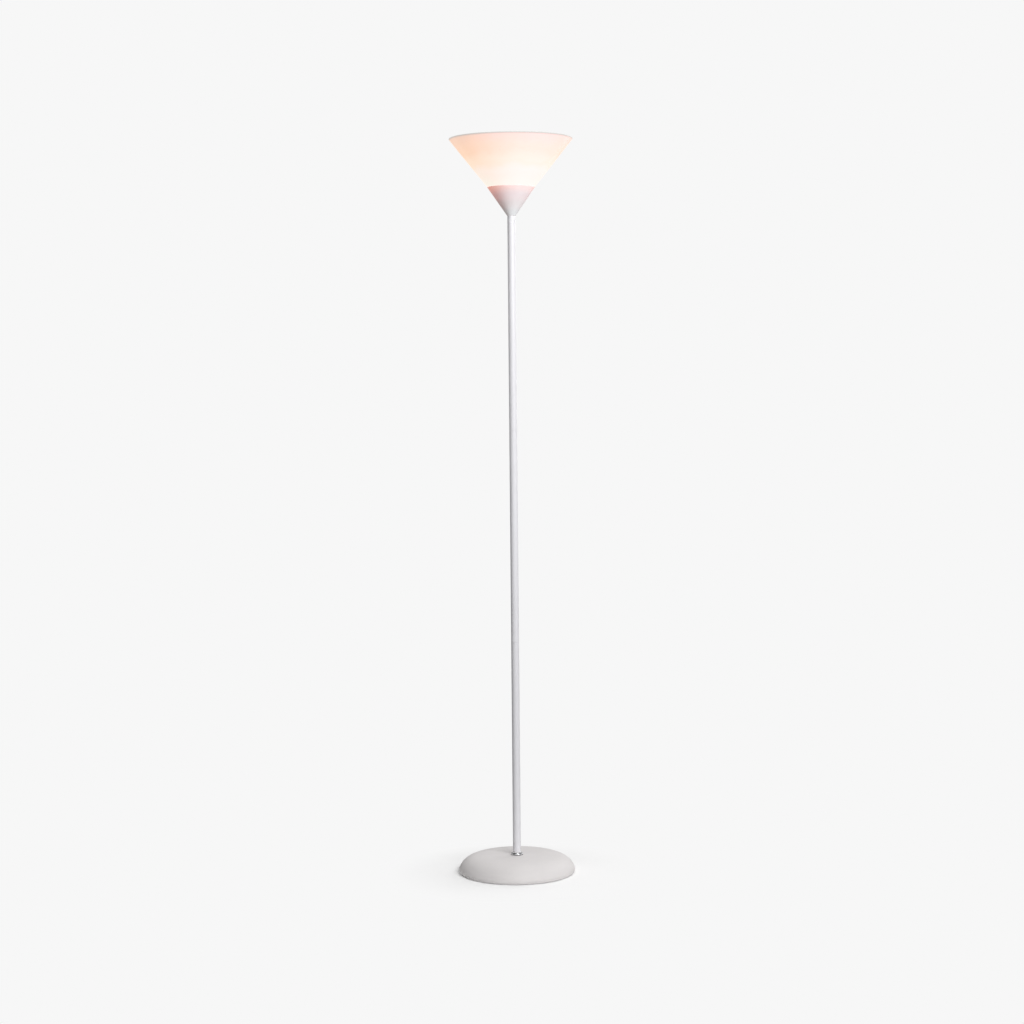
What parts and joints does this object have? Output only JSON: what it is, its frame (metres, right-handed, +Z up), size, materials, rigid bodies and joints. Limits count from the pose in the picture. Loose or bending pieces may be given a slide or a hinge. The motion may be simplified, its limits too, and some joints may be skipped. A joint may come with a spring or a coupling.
{
  "type": "torchiere floor lamp",
  "caption": "Floor-standing uplighter: opal cone shade in a conical cup on a slim three-section pole with a low weighted dome base.",
  "frame": {"origin": "on the floor, on the pole's axis, at the middle of the base", "axes": "+Z up along the pole, +Y to the rear, where the cord inlet is, -Y to the front"},
  "size_m": [0.296, 0.296, 1.77],
  "materials": {
    "opal_shade": "satin translucent opal plastic, cone shade",
    "cup_plastic": "satin off-white opaque moulded plastic",
    "pole_paint": "satin white powder coat on steel tube",
    "base_paint": "matte warm light-grey powder coat",
    "cast_iron": "rough sand-cast iron, black primer",
    "zinc_steel": "zinc-plated steel",
    "chrome": "polished chrome",
    "brass": "bare brass",
    "rubber": "matte dark rubber",
    "holder_plastic": "off-white moulded thermoplastic",
    "steatite": "unglazed cream ceramic",
    "lead_jacket": "smooth white flexible PVC sheath",
    "live_core": "brown insulated wire",
    "neutral_core": "blue insulated wire",
    "bulb_plastic": "white moulded bulb housing",
    "bulb_diffuser": "satin frosted diffuser",
    "nickel": "nickel-plated metal",
    "black_glass": "black insulating glass"
  },
  "bodies": {
    "stand": {"base_cover": "base_paint", "base_weight": "cast_iron", "base_plate": "zinc_steel", "cord_inlet_bush": "rubber", "pole_ferrule": "chrome", "base_nipple": "zinc_steel", "base_washer": "zinc_steel", "base_lock_washer": "zinc_steel", "base_nut": "zinc_steel", "shade_cup": "cup_plastic", "head_nipple": "zinc_steel", "cup_washer": "zinc_steel", "cup_nut": "zinc_steel", "lampholder_cap": "holder_plastic", "lampholder_skirt": "holder_plastic", "lampholder_puck": "steatite", "lampholder_screw_live": "brass", "lampholder_screw_neutral": "brass", "lampholder_thread_shell": "brass", "lampholder_contact": "brass", "terminal_block": "holder_plastic", "terminal_barrel_live": "brass", "terminal_barrel_neutral": "brass", "inner_lead": "lead_jacket", "base_core_live": "live_core", "head_core_live": "live_core", "base_core_neutral": "neutral_core", "head_core_neutral": "neutral_core", "plate_screw_1": "zinc_steel", "plate_screw_2": "zinc_steel", "plate_screw_3": "zinc_steel", "foot_1": "rubber", "foot_2": "rubber", "foot_3": "rubber", "foot_4": "rubber", "foot_5": "rubber", "foot_6": "rubber", "pole_lower": "pole_paint", "pole_lower_bottom_insert": "zinc_steel", "pole_lower_top_insert": "zinc_steel", "pole_middle": "pole_paint", "pole_middle_bottom_insert": "zinc_steel", "pole_middle_top_insert": "zinc_steel", "pole_upper": "pole_paint", "pole_upper_bottom_insert": "zinc_steel", "pole_upper_top_insert": "zinc_steel", "joint_nipple_1": "zinc_steel", "joint_nipple_2": "zinc_steel", "terminal_screw_live_1": "zinc_steel", "terminal_screw_live_2": "zinc_steel", "terminal_screw_neutral_1": "zinc_steel", "terminal_screw_neutral_2": "zinc_steel"},
    "shade": {"shade": "opal_shade"},
    "bulb_carriage": {"bulb_contact": "nickel"},
    "bulb": {"bulb_insulator": "black_glass", "bulb_screw_cap": "nickel", "bulb_body": "bulb_plastic", "bulb_led_board": "bulb_plastic", "bulb_globe": "bulb_diffuser"}
  },
  "joints": [
    {"name": "shade_lift", "type": "slide", "parent": "stand", "child": "shade", "axis": [0, 0, 1], "range_m": [0, 0.12]},
    {"name": "bulb_rise", "type": "slide", "parent": "stand", "child": "bulb_carriage", "axis": [0, 0, 1], "range_m": [0, 0.0171]},
    {"name": "bulb_unscrew", "type": "hinge", "parent": "bulb_carriage", "child": "bulb", "pos_m": [0, 0, 1.64], "axis": [0, 0, 1], "range_deg": [0, 1711]}
  ],
  "couplings": [
    {"joint": "bulb_unscrew", "follows": "bulb_rise", "rad_per_m": 1745.3}
  ]
}
